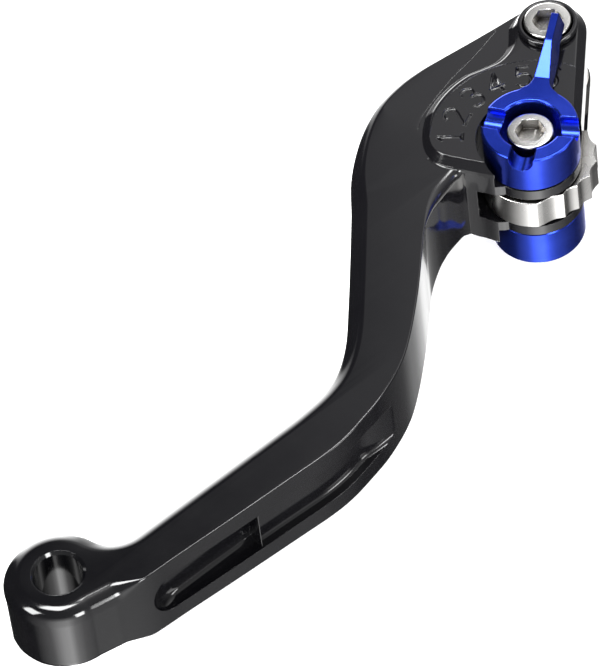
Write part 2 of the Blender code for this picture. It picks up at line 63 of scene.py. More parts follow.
# Lever body
HALF_HEAD = 9.4
TAPER_START_X = -33.0
TAPER_END_X = -151.0
TAPER_DROP = 1.6
PIVOT_R = 6.95
DIAL_END_R = 8.65
TIP_R = 9.8
TIP_HOLE_R = 4.3
NECK_R = 6.0
GRIP_Y = -33.4
EDGE_R = 0.28
CROTCH_R = 1.8
FINGER_R = 3.3
FORK_HALF = 3.5
ARM_FACE = 6.0
POCKET_R = 9.9
FORK_R = 11.7
FORK_PIVOT_R = 9.0
FORK_RELIEF = 0.25
PIVOT_RELIEF_R = 7.2
CAM_RELIEF_R = 11.0
ISLAND_Z = 10.9
ISLAND_R = 18.8
ISLAND_SLOPE = 1.5
SLOT_HALF = 4.6
SLOT_START_X = -125.8
SLOT_END_X = -72.0
POCKET_MOUTH_Y = -43.6
POCKET_BACK_Y = -40.6
POCKET_DISH_LENGTH = 3.4
POCKET_DISH_RISE = 1.1
CHANNEL_START_X = -107.0
CHANNEL_DEPTH = 2.0
CHANNEL_FLOOR_R = 0.9
CHANNEL_RUN_OUT = 9.0          # length over which the channel's depth falls to nothing
DETENT_HOLE_R = 1.9

# Dial numbers
RECESS_R = 18.1
RECESS_DEPTH = 0.1
DIGIT_R = 14.5                 # centres of the numbers, from the selector axis
DIGIT_SIZE = 0.97
DIGIT_STROKE = 0.33
DIGIT_DEPTH = 0.23
FIRST_DIGIT_DEG = 135.3
CLICK_DEG = 20.4

# Selector
CAP_R = 8.7
CAP_TOP = 14.35
LOWER_CAP_R = 8.5
LOWER_CAP_BOTTOM = -14.35
CAP_COUNTERBORE_R = 5.55
CAP_FLOOR = 9.2
CAP_RECESS_R = 6.9
POINTER_DEG = 36.9
GROOVE_STEP_DEG = 86.0
GROOVE_HALF = 2.2
GROOVE_DEPTH = 2.65
HUB_R = 4.9
HUB_END = 6.9
CAM_HALF = 3.2
CAM_RIM_R = 9.2
CAM_TIPS = ((-122.4, 8.9), (-95.0, 9.0), (-75.8, 9.5), (-58.2, 10.6), (-39.8, 11.4), (-21.0, 12.1),
            (-3.5, 12.4))      # angle and radius of each tip
CAM_SCALLOP = 0.6
CAM_NOTCH_R = 1.1
SCREW_R = 2.5
SCREW_HEAD_R = 4.2
SCREW_HEAD_TOP = 12.7
SCREW_END = -13.4
SCREW_HEX_DEG = 17.7
SELECTOR_NUT_R = 4.7
SELECTOR_NUT_LOW = -13.2
SELECTOR_NUT_HIGH = -9.6
NUT_RECESS_R = 5.2
NUT_RECESS_Z = -9.3
SOCKET_R = 2.89
SOCKET_DEPTH = 2.4
PIN_R = 0.6
PIN_CIRCLE_R = 3.85

# Pivot
PIVOT_BORE_R = 5.3
PIVOT_SCREW_R = 2.95
PIVOT_HEAD_R = 4.3
PIVOT_HEAD_TOP = 12.65
PIVOT_HEAD_SEAT = 7.9
PIVOT_SCREW_END = -16.6
PIVOT_HEX_DEG = 21.0
PIVOT_NUT_R = 5.7
PIVOT_NUT_HEIGHT = 4.5
WASHER_R = 6.2
WASHER_THICK = 1.0
CUP_TOP = 12.2
CUP_FLANGE_R = 5.5

ROUND = 128                    # segments of a full turn
SHARP_DEG = 28.0         # edges that turn by more than this stay crisp

# Finishes
CLOUD_SCALE = 90.0
GRAIN_SCALE = 9000.0
WEAR_PATCH_SCALE = 700.0
EDGE_WEAR_R = 0.12
BUMP_DISTANCE = 0.00001

# Camera
CAMERA_AZIMUTH = 34.7
CAMERA_ELEVATION = 50.67
CAMERA_ROLL = 7.68
CAMERA_PLACE = (-524.6, -666.8, 967.1)
CAMERA_LENS = 424.7            # on a 36 mm wide sensor

# Softboxes: direction from +Y towards +X, elevation, half angles and brightness
SOFTBOXES = {
    "left": (-74.0, 43.0, (9.0, 12.0), 13.0),
    "overhead": (-16.0, 80.0, (9.0, 10.0), 15.0),
    "right": (74.0, 68.0, (10.0, 7.0), 12.0),
    "front": (-172.0, 31.0, (7.0, 10.0), 15.0),
    "front_right": (150.0, 14.0, (7.5, 9.0), 8.0),
}
BOX_DISTANCE = 2.0
BOX_TARGET = (-0.07, -0.02, 0.0)

# Studio walls: (place, grey). Place 0.5 faces +Y, 0.75 faces +X, and 0 and 1 face -Y
WALLS_ABOVE = ((0.0, 0.03), (0.25, 0.012), (0.5, 0.0013), (0.565, 0.0016), (0.584, 0.008), (0.590, 0.024),
               (0.596, 0.046), (0.604, 0.068), (0.62, 0.085), (0.72, 0.15), (0.85, 0.06), (1.0, 0.03))
WALLS_BELOW = ((0.0, 0.09), (0.05, 0.18), (0.085, 0.37), (0.125, 0.31), (0.19, 0.09), (0.29, 0.005),
               (0.515, 0.0025), (0.545, 0.95), (0.6, 0.95), (0.625, 0.25), (0.655, 0.2), (0.675, 0.06),
               (0.71, 0.04), (0.74, 0.02), (0.82, 0.005), (0.905, 0.03), (1.0, 0.09))
WALL_STRENGTH = 8.0
WALLS_MEET = (0.2, 0.62)       # the lower walls turn into the upper ones between these heights
FLOOR_SIZE = 6.0
FLOOR_DROP = 0.0005
FLOOR_GLOW = 0.85


# ---------------------------------------------------------------- shapes

def polar(centre, radius, degrees):
    angle = math.radians(degrees)
    return (centre[0] + radius * math.cos(angle), centre[1] + radius * math.sin(angle))


def arc(centre, radius, start_deg, end_deg, steps):
    return [polar(centre, radius, start_deg + (end_deg - start_deg) * i / steps) for i in range(steps + 1)]


def blend(value, start, end, first, last):
    t = min(1.0, max(0.0, (value - start) / (end - start)))
    return first + (last - first) * t


def smooth_path(knots, step):
    """Points about one step apart on a Catmull-Rom curve through the knots, without the last knot."""
    points = []
    for i in range(len(knots) - 1):
        before = Vector(knots[max(i - 1, 0)])
        start = Vector(knots[i])
        end = Vector(knots[i + 1])
        after = Vector(knots[min(i + 2, len(knots) - 1)])
        count = max(1, round((end - start).length / step))
        for k in range(count):
            t = k / count
            point = 0.5 * (2 * start + (end - before) * t
                           + (2 * before - 5 * start + 4 * end - after) * t ** 2
                           + (3 * start - before - 3 * end + after) * t ** 3)
            points.append(tuple(point))
    return points


def inset(points, distances):
    """Move each point of a counter-clockwise outline inwards by its own distance."""
    moved = []
    count = len(points)
    for i, (x, y) in enumerate(points):
        before = points[i - 1]
        after = points[(i + 1) % count]
        along = Vector((after[0] - before[0], after[1] - before[1])).normalized()
        moved.append((x - along.y * distances[i], y + along.x * distances[i]))
    return moved


def make_object(bm, name):
    bmesh.ops.recalc_face_normals(bm, faces=bm.faces)
    bmesh.ops.scale(bm, vec=(MM, MM, MM), verts=bm.verts)
    mesh = bpy.data.meshes.new(name)
    bm.to_mesh(mesh)
    bm.free()
    obj = bpy.data.objects.new(name, mesh)
    bpy.context.scene.collection.objects.link(obj)
    return obj


def bridge(bm, loops):
    """Side faces between neighbouring loops of vertices."""
    count = len(loops[0])
    for first, second in zip(loops, loops[1:]):
        for i in range(count):
            j = (i + 1) % count
            bm.faces.new((first[i], first[j], second[j], second[i]))


def loft(sections):
    """A closed solid through sections of (x, y, z) points with equal counts."""
    bm = bmesh.new()
    loops = [[bm.verts.new(point) for point in section] for section in sections]
    bm.faces.new(loops[0])
    bm.faces.new(loops[-1])
    bridge(bm, loops)
    return bm


def stacked(rings):
    """A closed solid from level rings, its ends cut into triangles so that they may be concave."""
    bm = bmesh.new()
    loops = [[bm.verts.new(point) for point in ring] for ring in rings]
    bridge(bm, loops)
    for loop in (loops[0], loops[-1]):
        flat = [Vector((vert.co.x, vert.co.y, 0.0)) for vert in loop]
        for triangle in tessellate_polygon([flat]):
            bm.faces.new([loop[i] for i in triangle])
    return bm


def prism(outline, low, high, chamfer=0.0):
    """An upright solid, its top and bottom edges cut back by the chamfer."""
    levels = [(0.0, low), (0.0, high)]
    if chamfer:
        levels = [(chamfer, low), (0.0, low + chamfer), (0.0, high - chamfer), (chamfer, high)]
    rings = []
    for shift, z in levels:
        rings.append([(x, y, z) for x, y in inset(outline, [shift] * len(outline))])
    return stacked(rings)


def turned(profile, centre, segments=ROUND):
    """Turn (radius, z) points about a vertical axis: a solid from radius 0 to radius 0, else a ring."""
    bm = bmesh.new()
    solid = profile[0][0] == 0
    loops = []
    for radius, z in profile:
        if radius == 0:
            loops.append([bm.verts.new((centre[0], centre[1], z))] * segments)
            continue
        step = 360.0 / segments
        loops.append([bm.verts.new((*polar(centre, radius, i * step), z)) for i in range(segments)])
    pairs = list(zip(loops, loops[1:]))
    if not solid:
        pairs.append((loops[-1], loops[0]))
    for lower, upper in pairs:
        for i in range(segments):
            j = (i + 1) % segments
            corners = []
            for vert in (lower[i], lower[j], upper[j], upper[i]):
                if vert not in corners:
                    corners.append(vert)
            bm.faces.new(corners)
    return bm


def cylinder(centre, radius, low, high, segments=ROUND):
    return turned([(0, low), (radius, low), (radius, high), (0, high)], centre, segments)


def rod(start, end, radius, segments=32):
    """A round bar between two points in any direction."""
    axis = Vector(end) - Vector(start)
    bm = bmesh.new()
    bmesh.ops.create_cone(bm, cap_ends=True, segments=segments, radius1=radius, radius2=radius,
                          depth=axis.length)
    turn = axis.to_track_quat("Z", "Y").to_matrix().to_4x4()
    bmesh.ops.transform(bm, matrix=turn, verts=bm.verts)
    bmesh.ops.translate(bm, vec=(Vector(start) + Vector(end)) / 2, verts=bm.verts)
    return bm


def tubes(paths, z, radius, sides=10):
    """Round strokes lying along flat paths at one height."""
    bm = bmesh.new()
    for path in paths:
        loops = []
        for i, point in enumerate(path):
            before = Vector(path[max(i - 1, 0)])
            after = Vector(path[min(i + 1, len(path) - 1)])
            along = (after - before).normalized()
            loop = []
            for k in range(sides):
                turn = math.radians(360.0 * k / sides)
                side = radius * math.cos(turn)
                loop.append(bm.verts.new((point[0] - along.y * side, point[1] + along.x * side,
                                          z + radius * math.sin(turn))))
            loops.append(loop)
        bm.faces.new(loops[0])
        bm.faces.new(loops[-1])
        bridge(bm, loops)
    return bm


def combine(target, bm, operation, name, crossing=False):
    """Add a Boolean to the target; crossing allows a tool whose strokes overlap each other."""
    tool = make_object(bm, name)
    modifier = target.modifiers.new(name, "BOOLEAN")
    modifier.operation = operation
    modifier.solver = "EXACT"
    modifier.use_self = crossing
    modifier.object = tool


def cut(target, bm, name, crossing=False):
    combine(target, bm, "DIFFERENCE", name, crossing)


def join(target, bm, name):
    combine(target, bm, "UNION", name)


def bake(obj):
    """Apply the Booleans, remove their tools and set up smooth shading with crisp edges."""
    bpy.context.view_layer.update()
    evaluated = obj.evaluated_get(bpy.context.evaluated_depsgraph_get())
    mesh = bpy.data.meshes.new_from_object(evaluated)
    tools = [modifier.object for modifier in obj.modifiers]
    obj.modifiers.clear()
    obj.data = mesh
    for tool in tools:
        bpy.data.objects.remove(tool)
    bm = bmesh.new()
    bm.from_mesh(mesh)
    bmesh.ops.remove_doubles(bm, verts=bm.verts, dist=0.004 * MM)
    bmesh.ops.dissolve_degenerate(bm, edges=bm.edges, dist=0.002 * MM)
    bm.to_mesh(mesh)
    bm.free()
    mesh.shade_smooth()
    mesh.set_sharp_from_angle(angle=math.radians(SHARP_DEG))
    weighted = obj.modifiers.new("weighted_normals", "WEIGHTED_NORMAL")
    weighted.keep_sharp = True
    return obj


def place(obj, node, body, mat):
    """Put a finished piece in the stead of its CAD node."""
    obj.data.materials.clear()
    obj.data.materials.append(mat)
    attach(obj, body)
    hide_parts(node)


# ---------------------------------------------------------------- lever body

def half_thickness(x):
    return HALF_HEAD - TAPER_DROP * blend(x, TAPER_START_X, TAPER_END_X, 0.0, 1.0)


def finger_edge():
    knots = [(-0.5, 7.1), (-8.0, 7.8), (-16.5, 8.8), (-22.0, 9.7), (-27.5, 10.0), (-33.5, 9.1), (-40.0, 6.1),
             (-46.8, 0.9), (-52.9, -6.0), (-59.5, -13.3), (-66.4, -20.8), (-72.3, -26.9), (-77.6, -30.8),
             (-82.5, -32.6), (-89.0, -33.3), (-96.0, GRIP_Y), (-112.0, GRIP_Y)]
    return smooth_path(knots, 0.8)


def rider_edge():
    knots = [(-137.5, -42.0), (-131.0, -42.9), (-124.0, -43.2), (-112.0, -43.8), (-100.0, -44.3), (-92.0, -44.6),
             (-87.0, -44.3), (-82.0, -43.3), (-76.0, -41.7), (-69.2, -38.7), (-63.6, -34.8), (-56.2, -28.4),
             (-49.5, -21.9), (-46.0, -18.6), (-42.0, -16.1), (-39.6, -15.1), (-37.6, -14.4), (-35.2, -13.8),
             (-33.6, -13.5)]
    wall = [(-32.2, -13.5), (-31.0, -15.4), (-29.6, -18.3), polar(DIAL, DIAL_END_R, 194.0)]
    return smooth_path(knots + wall[:1], 0.8) + smooth_path(wall, 0.8)


def rider_radius(x):
    if x < -90.0:
        return blend(x, -136.5, -131.5, FINGER_R, EDGE_R)
    if x < -36.0:
        return blend(x, -46.0, -39.0, EDGE_R, CROTCH_R)
    return blend(x, -33.6, -31.5, CROTCH_R, EDGE_R)


def lever_outline():
    side_deg = -44.8
    neck = (TIP[0] + math.sqrt((TIP_R + NECK_R) ** 2 - (GRIP_Y + NECK_R - TIP[1]) ** 2), GRIP_Y + NECK_R)
    neck_deg = math.degrees(math.atan2(TIP[1] - neck[1], TIP[0] - neck[0])) % 360
    small = arc(PIVOT, PIVOT_R, side_deg, 86.0, 48)
    finger = finger_edge()
    ball = arc(neck, NECK_R, 270.0, neck_deg, 14)[:-1] + arc(TIP, TIP_R, neck_deg - 180, 268.0, 80)
    rider = rider_edge()
    end = arc(DIAL, DIAL_END_R, 194.0, 360 + side_deg, 40)
    radii = [EDGE_R] * len(small)
    radii += [blend(-x, 17.0, 52.0, EDGE_R, FINGER_R) for x, _ in finger]
    radii += [FINGER_R] * len(ball)
    radii += [rider_radius(x) for x, _ in rider]
    radii += [EDGE_R] * len(end)
    return small + finger + ball + rider + end, radii


def lever_blank(steps=8):
    """The lever's outline at one thickness with rounded edges, then drawn in towards the tip."""
    outline, radii = lever_outline()
    rings = []
    for side in (-1, 1):
        order = range(steps + 1) if side > 0 else range(steps, -1, -1)
        for k in order:
            angle = math.radians(90.0 * k / steps)
            moved = inset(outline, [radius * (1 - math.cos(angle)) for radius in radii])
            rings.append([(x, y, side * (HALF_HEAD - radius * (1 - math.sin(angle))))
                          for (x, y), radius in zip(moved, radii)])
    bm = stacked(rings)
    geometry = list(bm.verts) + list(bm.edges) + list(bm.faces)
    bmesh.ops.bisect_plane(bm, geom=geometry, plane_co=(TAPER_START_X, 0, 0), plane_no=(1, 0, 0))
    for vert in bm.verts:
        vert.co.z *= half_thickness(vert.co.x) / HALF_HEAD
    return bm


def island_outline():
    rim = PIVOT_R - ISLAND_SLOPE
    points = arc(PIVOT, rim, -44.8, 112.0, 40)
    points += smooth_path([(-3.9, 4.3), (-6.2, 1.8), (-7.8, 0.7), (-9.8, 0.0), (-12.1, -0.2), (-15.0, 0.5),
                           polar(DIAL, ISLAND_R, 84)], 0.6)
    points += arc(DIAL, ISLAND_R, 84.0, 118.0, 20)
    points += smooth_path([(-30.6, -2.5), (-32.6, -4.8), (-33.6, -7.2), (-33.2, -9.5), (-31.7, -12.2)], 0.6)
    points += [(-31.7, -12.2), (-29.25, -16.2), (-28.3, -17.8), (-26.0, -20.0)]
    points += [polar(DIAL, DIAL_END_R - ISLAND_SLOPE, -44.8)]
    return points


def island():
    """Raised plateau: sloped wall, its top edge slightly rounded."""
    top = island_outline()
    rise = (ISLAND_Z - HALF_HEAD + 0.12) / ISLAND_SLOPE
    levels = [(-ISLAND_SLOPE + 0.05, HALF_HEAD - 1.0), (-ISLAND_SLOPE + 0.05, HALF_HEAD - 0.07),
              (-0.22, ISLAND_Z - 0.22 * rise), (-0.07, ISLAND_Z - 0.1), (0.08, ISLAND_Z - 0.025), (0.25, ISLAND_Z)]
    return stacked([[(x, y, z) for x, y in inset(top, [shift] * len(top))] for shift, z in levels])


def fork_gap():
    """Slot between the fork arms: open towards the perch, round behind the pivot and the cam."""
    reach = math.hypot(*DIAL)
    along_deg = math.degrees(math.atan2(DIAL[1], DIAL[0])) % 360
    meet_deg = along_deg - math.degrees(math.acos((FORK_PIVOT_R - FORK_R) / reach))
    outline = [(-31.2, -60.0), (40.0, -60.0), (40.0, 30.0), (0.0, 30.0)]
    outline += arc(PIVOT, FORK_PIVOT_R, 112.0, meet_deg, 6)
    outline += arc(DIAL, FORK_R, meet_deg, 190.0, 48)
    return prism(outline, -FORK_HALF, FORK_HALF)


def side_channel():
    """Flat-floored channel along the rider edge that runs out towards the head."""
    edge = [point for point in rider_edge() if CHANNEL_START_X - 1.0 < point[0] < SLOT_END_X + 3.0]
    run_out = SLOT_END_X - CHANNEL_RUN_OUT
    sections = []
    for before, (x, y), after in zip(edge, edge[1:], edge[2:]):
        along = Vector((after[0] - before[0], after[1] - before[1])).normalized()
        centre = CHANNEL_FLOOR_R - blend(x, run_out, SLOT_END_X, CHANNEL_DEPTH, -0.5)
        low = -SLOT_HALF
        high = blend(x, run_out, SLOT_END_X, SLOT_HALF, SLOT_HALF - 1.2)
        section = [(4.0, low)] + arc((centre, low + CHANNEL_FLOOR_R), CHANNEL_FLOOR_R, 270.0, 180.0, 6)
        section += arc((centre, high - CHANNEL_FLOOR_R), CHANNEL_FLOOR_R, 180.0, 90.0, 6) + [(4.0, high)]
        sections.append([(x + along.y * out, y - along.x * out, z) for out, z in section])
    return loft(sections)


def side_pocket():
    """Deeper pocket in the tip end of the channel, its round end dished."""
    sections = []
    for turn in [None] + list(range(0, 91, 15)):
        angle = math.radians(turn or 0)
        lean = 1 - math.cos(angle)
        y = -60.0 if turn is None else blend(math.sin(angle), 0.0, 1.0, POCKET_MOUTH_Y, POCKET_BACK_Y)
        half = SLOT_HALF - POCKET_DISH_RISE * lean
        points = arc((SLOT_START_X + POCKET_DISH_LENGTH * lean, 0.0), half, 90.0, 270.0, 48)
        points += [(CHANNEL_START_X, -half), (CHANNEL_START_X, half)]
        sections.append([(x, y, z) for x, z in points])
    return loft(sections)


def glyphs():
    """Strokes of the numbers 1 to 6, about 3 wide and 4.8 high around their centre."""
    return {
        1: [[(-0.85, 1.4), (0.2, 2.4)], [(0.1, 2.45), (0.1, -2.3)], [(-0.85, -2.3), (1.05, -2.3)]],
        2: [smooth_path([(-1.35, 1.25), (-1.1, 2.0), (-0.2, 2.4), (0.85, 2.15), (1.25, 1.3), (0.9, 0.3),
                         (-0.2, -0.9), (-1.4, -2.35)], 0.3) + [(-1.4, -2.35)], [(-1.55, -2.3), (1.4, -2.3)]],
        3: [smooth_path([(-1.3, 1.5), (-0.9, 2.15), (0.0, 2.4), (0.95, 2.05), (1.15, 1.2), (0.7, 0.45),
                         (-0.2, 0.25)], 0.3) + [(-0.2, 0.25)],
            smooth_path([(-0.2, 0.25), (0.8, 0.05), (1.3, -0.9), (0.95, -1.95), (0.0, -2.4), (-1.0, -2.1),
                         (-1.4, -1.35)], 0.3)],
        4: [[(0.6, -2.4), (0.6, 2.5)], [(0.65, 2.45), (-1.5, -1.0)], [(-1.65, -1.0), (1.5, -1.0)]],
        5: [[(1.2, 2.35), (-1.0, 2.35)], [(-0.87, 2.45), (-1.15, 0.1)],
            smooth_path([(-1.15, 0.2), (-0.3, 0.6), (0.7, 0.45), (1.35, -0.5), (1.15, -1.7), (0.2, -2.4),
                         (-0.8, -2.2), (-1.4, -1.5)], 0.3)],
        6: [smooth_path([(1.15, 1.9), (0.6, 2.35), (-0.2, 2.35), (-1.0, 1.5), (-1.35, 0.0), (-1.3, -1.2),
                         (-0.7, -2.2), (0.1, -2.4), (1.0, -1.9), (1.3, -0.9), (0.9, 0.15), (0.1, 0.5),
                         (-0.8, 0.1), (-1.25, -0.8)], 0.3)],
    }


def digit_strokes():
    paths = []
    for number, strokes in glyphs().items():
        degrees = FIRST_DIGIT_DEG - CLICK_DEG * (number - 1)
        up = Vector(polar((0, 0), 1.0, degrees))
        right = Vector((up.y, -up.x))
        centre = Vector(polar(DIAL, DIGIT_R, degrees))
        for stroke in strokes:
            paths.append([tuple(centre + DIGIT_SIZE * (right * u + up * v)) for u, v in stroke])
    return tubes(paths, ISLAND_Z - RECESS_DEPTH - DIGIT_DEPTH + DIGIT_STROKE, DIGIT_STROKE, 14)


def scribed_line():
    """Fine line that runs off the plateau's foot along the head."""
    crease = smooth_path([(-6.6, 7.0), (-11.4, 5.7), (-14.7, 5.0), (-20.2, 4.0), (-23.4, 3.1), (-27.5, 1.9),
                          (-30.1, 0.8), (-32.6, -1.2)], 1.0)
    return tubes([crease], HALF_HEAD + 0.03, 0.13, 8)


def foot_groove():
    """Groove at the foot of the plateau's lower slope."""
    foot = smooth_path([(-35.3, -7.2), (-34.9, -10.0), (-33.4, -12.7), (-30.9, -16.8), (-30.3, -17.9)], 1.0)
    return tubes([foot], HALF_HEAD + 0.02, 0.28, 10)


def lever_body(mats):
    body = make_object(lever_blank(), "lever_body_fine")
    join(body, island(), "tool_island")
    cut(body, fork_gap(), "tool_fork")
    relief = FORK_HALF + FORK_RELIEF
    cut(body, cylinder(PIVOT, PIVOT_RELIEF_R, -relief, relief), "tool_pivot_relief")
    cut(body, cylinder(DIAL, CAM_RELIEF_R, -relief, relief), "tool_cam_relief")
    high = HALF_HEAD + 8.0
    cut(body, cylinder(DIAL, POCKET_R, ARM_FACE, high), "tool_upper_pocket")
    cut(body, cylinder(DIAL, POCKET_R, -high, -ARM_FACE), "tool_lower_pocket")
    cut(body, cylinder(DIAL, HUB_R + 1.6, -high, high, 64), "tool_dial_bore")
    cut(body, cylinder(PIVOT, PIVOT_BORE_R, -high, high, 96), "tool_pivot_bore")
    face = half_thickness(TIP[0])
    wide = TIP_HOLE_R + 1.5
    cut(body, turned([(0, -face - 1), (wide, -face - 1), (TIP_HOLE_R, -face + 0.5), (TIP_HOLE_R, face - 0.5),
                      (wide, face + 1), (0, face + 1)], TIP), "tool_tip_hole")
    cut(body, side_channel(), "tool_side_channel")
    cut(body, side_pocket(), "tool_side_pocket")
    inner = (*polar(DIAL, FORK_R - 2.0, DETENT_DEG), 0.0)
    outer = (*polar(DIAL, 40.0, DETENT_DEG), 0.0)
    cut(body, rod(inner, outer, DETENT_HOLE_R), "tool_detent_hole")
    cut(body, cylinder(DIAL, RECESS_R, ISLAND_Z - RECESS_DEPTH, high, 192), "tool_recess")
    cut(body, foot_groove(), "tool_foot_groove")
    cut(body, scribed_line(), "tool_scribed_line")
    cut(body, digit_strokes(), "tool_digits", crossing=True)
    place(bake(body), "lever_body", "lever", mats["black"])


# ---------------------------------------------------------------- selector

def groove(angle_deg):
    """U-shaped groove cutter through the cap's rim, flared at the top for a small chamfer."""
    centre_z = CAP_TOP - GROOVE_DEPTH + GROOVE_HALF
    section = [(GROOVE_HALF + 1.2, CAP_TOP + 1.0), (GROOVE_HALF, CAP_TOP - 0.2)]
    section += arc((0.0, centre_z), GROOVE_HALF, 0.0, -180.0, 32)
    section += [(-GROOVE_HALF, CAP_TOP - 0.2), (-GROOVE_HALF - 1.2, CAP_TOP + 1.0)]
    out = Vector(polar((0, 0), 1.0, angle_deg))
    return loft([[(DIAL[0] + radius * out.x - side * out.y, DIAL[1] + radius * out.y + side * out.x, z)
                  for side, z in section] for radius in (4.0, CAP_R + 2.0)])


def pointer():
    """Neck and fin, lofted outwards: (radius, half width at top, half width below, top z, bottom z)."""
    neck = [(6.9, 4.3, 4.3, CAP_TOP, 11.6), (8.0, 3.4, 3.5, CAP_TOP, 11.6), (8.8, 2.45, 2.6, CAP_TOP, 11.6),
            (9.7, 1.8, 2.0, CAP_TOP, 11.6), (11.2, 1.45, 1.8, CAP_TOP, 11.6)]
    fin = [(11.2, 1.45, 1.8, CAP_TOP, 11.6), (17.6, 0.75, 1.6, 16.75, 11.6), (18.3, 0.72, 1.6, 17.0, 12.1),
           (20.0, 0.72, 1.5, 17.0, 13.4), (24.25, 0.72, 1.45, 17.0, 13.4), (24.4, 0.6, 1.35, 16.85, 13.5)]
    out = Vector(polar((0, 0), 1.0, POINTER_DEG))
    edge = 0.14
    sections = []
    for radius, top_half, low_half, top, low in smooth_path(neck, 0.15) + fin:
        corners = [(-top_half, top - edge), (-top_half + edge, top), (top_half - edge, top),
                   (top_half, top - edge), (low_half, low + edge), (low_half - edge, low),
                   (-low_half + edge, low), (-low_half, low + edge)]
        section = []
        for side, z in corners:
            reach = radius + (0.5 if radius > 24 and z < low + 0.5 else 0.0)
            section.append((DIAL[0] + reach * out.x - side * out.y, DIAL[1] + reach * out.y + side * out.x, z))
        sections.append(section)
    return loft(sections)


def pin_holes(target, low, high, label):
    """Two blind holes for the drive pins, on opposite sides of the selector axis."""
    for side in (0, 180):
        x, y = polar(DIAL, PIN_CIRCLE_R, POINTER_DEG + side)
        cut(target, rod((x, y, low), (x, y, high), PIN_R + 0.3, 24), f"tool_{label}_{side}")


def upper_cap(mats):
    low = ARM_FACE + GAP
    recess = HUB_END + GAP
    round_r = 0.38
    profile = [(CAP_RECESS_R, low), (CAP_R - 0.2, low), (CAP_R, low + 0.2)]
    profile += arc((CAP_R - round_r, CAP_TOP - round_r), round_r, 0.0, 90.0, 6)
    profile += arc((CAP_COUNTERBORE_R + 0.45, CAP_TOP - 0.45), 0.45, 90.0, 180.0, 6)
    profile += [(CAP_COUNTERBORE_R, CAP_FLOOR), (SCREW_R + GAP, CAP_FLOOR), (SCREW_R + GAP, recess),
                (CAP_RECESS_R, recess)]
    cap = make_object(turned(profile, DIAL), "upper_dial_cap_fine")
    join(cap, pointer(), "tool_pointer")
    cut(cap, cylinder(DIAL, CAP_COUNTERBORE_R - 0.01, CAP_FLOOR + 0.01, CAP_TOP + 4), "tool_counterbore")
    for name, angle in (("a", GROOVE_STEP_DEG), ("b", -GROOVE_STEP_DEG), ("c", 180.0)):
        cut(cap, groove(POINTER_DEG + angle), f"tool_groove_{name}")
    pin_holes(cap, HUB_END, 8.9, "upper_cap_pin")
    place(bake(cap), "upper_dial_cap", "selector", mats["blue"])


def lower_cap(mats):
    high = -(ARM_FACE + GAP)
    recess = -(HUB_END + GAP)
    low = LOWER_CAP_BOTTOM
    profile = [(CAP_RECESS_R, high), (CAP_RECESS_R, recess), (SCREW_R + GAP, recess),
               (SCREW_R + GAP, NUT_RECESS_Z), (NUT_RECESS_R, NUT_RECESS_Z)]
    profile += arc((NUT_RECESS_R + 0.4, low + 0.4), 0.4, 180.0, 270.0, 5)
    profile += arc((LOWER_CAP_R - 0.5, low + 0.5), 0.5, 270.0, 360.0, 6)
    profile += [(LOWER_CAP_R, high - 0.25), (LOWER_CAP_R - 0.25, high)]
    cap = make_object(turned(profile, DIAL), "lower_dial_cap_fine")
    pin_holes(cap, -8.9, -HUB_END, "lower_cap_pin")
    place(bake(cap), "lower_dial_cap", "selector", mats["blue_lower"])


def cam_outline():
    """Tips that step outwards with shallow scallops between them, then a round rim."""
    points = []
    for (start, start_r), (end, end_r) in zip(CAM_TIPS, CAM_TIPS[1:]):
        for k in range(24):
            t = k / 24
            radius = start_r + (end_r - start_r) * t - CAM_SCALLOP * math.sin(math.pi * t)
            points.append(polar(DIAL, radius, start + (end - start) * t))
    last_deg, last_r = CAM_TIPS[-1]
    points.append(polar(DIAL, last_r, last_deg))
    points += [polar(DIAL, blend(k, 0, 12, last_r, CAM_RIM_R), last_deg + 4.0 * k / 3)
               for k in range(1, 13)]
    points += arc(DIAL, CAM_RIM_R, last_deg + 22.0, CAM_TIPS[0][0] + 360.0 - 5.0, 110)
    return points


def cam(mats):
    disc = make_object(prism(cam_outline(), -CAM_HALF, CAM_HALF, 0.12), "selector_cam_fine")
    join(disc, cylinder(DIAL, HUB_R, -HUB_END, HUB_END, 96), "tool_hub")
    cut(disc, cylinder(DIAL, SCREW_R + GAP, -HUB_END - 1, HUB_END + 1, 64), "tool_cam_bore")
    for k in range(6):
        x, y = polar(DIAL, CAM_RIM_R + 0.7, DETENT_DEG - k * CLICK_DEG)
        cut(disc, rod((x, y, -CAM_HALF - 1), (x, y, CAM_HALF + 1), CAM_NOTCH_R), f"tool_notch_{k}")
    pin_holes(disc, 4.5, HUB_END + 1, "cam_upper_pin")
    pin_holes(disc, -HUB_END - 1, -4.5, "cam_lower_pin")
    place(bake(disc), "selector_cam", "selector", mats["cam"])


def thread(low, high, radius, pitch=0.8, depth=0.3):
    """Profile of thread-like rings up a shank."""
    points = []
    turns = int((high - low) / pitch)
    for k in range(turns):
        z = low + k * pitch
        points += [(radius - depth, z), (radius, z + pitch * 0.4), (radius, z + pitch * 0.5)]
    return points + [(radius - depth, low + turns * pitch)]


